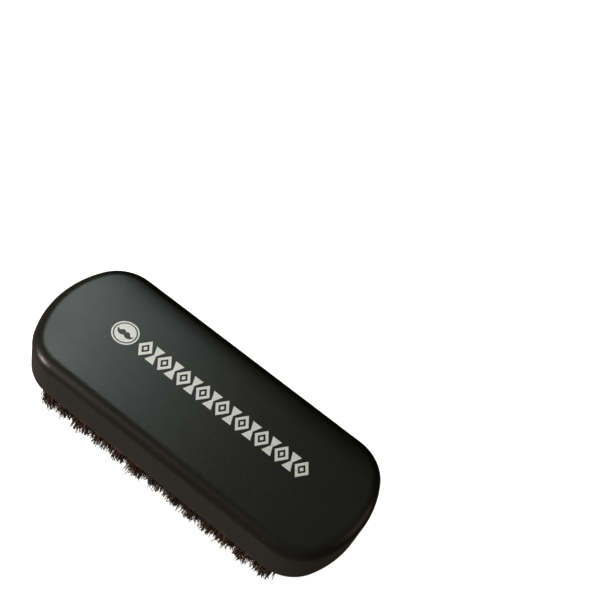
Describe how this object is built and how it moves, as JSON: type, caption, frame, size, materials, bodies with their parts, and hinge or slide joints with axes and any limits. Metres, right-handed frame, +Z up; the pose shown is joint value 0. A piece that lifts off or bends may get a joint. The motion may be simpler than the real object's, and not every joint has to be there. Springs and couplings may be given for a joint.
{
  "type": "beard brush",
  "caption": "Hand-held oblong beard brush: black wooden block with bowed ends and soft edges, stamped foil ornament on top, staggered tufts of dark boar bristle below.",
  "frame": {"origin": "on the plane of the bristle tips, below the middle of the block", "axes": "+X along the brush's length, away from the badge; +Y across its width, towards the top of the badge; +Z up, from the bristle tips to the block's flat top"},
  "size_m": [0.1156, 0.0464, 0.0283],
  "materials": {
    "black_wood": "black satin lacquer on close-grained wood",
    "bristle": "dark brown boar hair, slightly glossy",
    "anchor_wire": "drawn flat wire",
    "print_foil": "hot-stamped off-white foil"
  },
  "bodies": {
    "root": {"handle_block": "black_wood", "foil_badge": "print_foil", "foil_band": "print_foil", "bristle_row_01": "bristle", "bristle_row_02": "bristle", "bristle_row_03": "bristle", "bristle_row_04": "bristle", "bristle_row_05": "bristle", "bristle_row_06": "bristle", "bristle_row_07": "bristle", "bristle_row_08": "bristle", "bristle_row_09": "bristle", "bristle_row_10": "bristle", "bristle_row_11": "bristle", "bristle_row_12": "bristle", "bristle_row_13": "bristle", "bristle_row_14": "bristle", "bristle_row_15": "bristle", "anchor_row_01": "anchor_wire", "anchor_row_02": "anchor_wire", "anchor_row_03": "anchor_wire", "anchor_row_04": "anchor_wire", "anchor_row_05": "anchor_wire", "anchor_row_06": "anchor_wire", "anchor_row_07": "anchor_wire", "anchor_row_08": "anchor_wire", "anchor_row_09": "anchor_wire", "anchor_row_10": "anchor_wire", "anchor_row_11": "anchor_wire", "anchor_row_12": "anchor_wire", "anchor_row_13": "anchor_wire", "anchor_row_14": "anchor_wire", "anchor_row_15": "anchor_wire"}
  },
  "joints": []
}
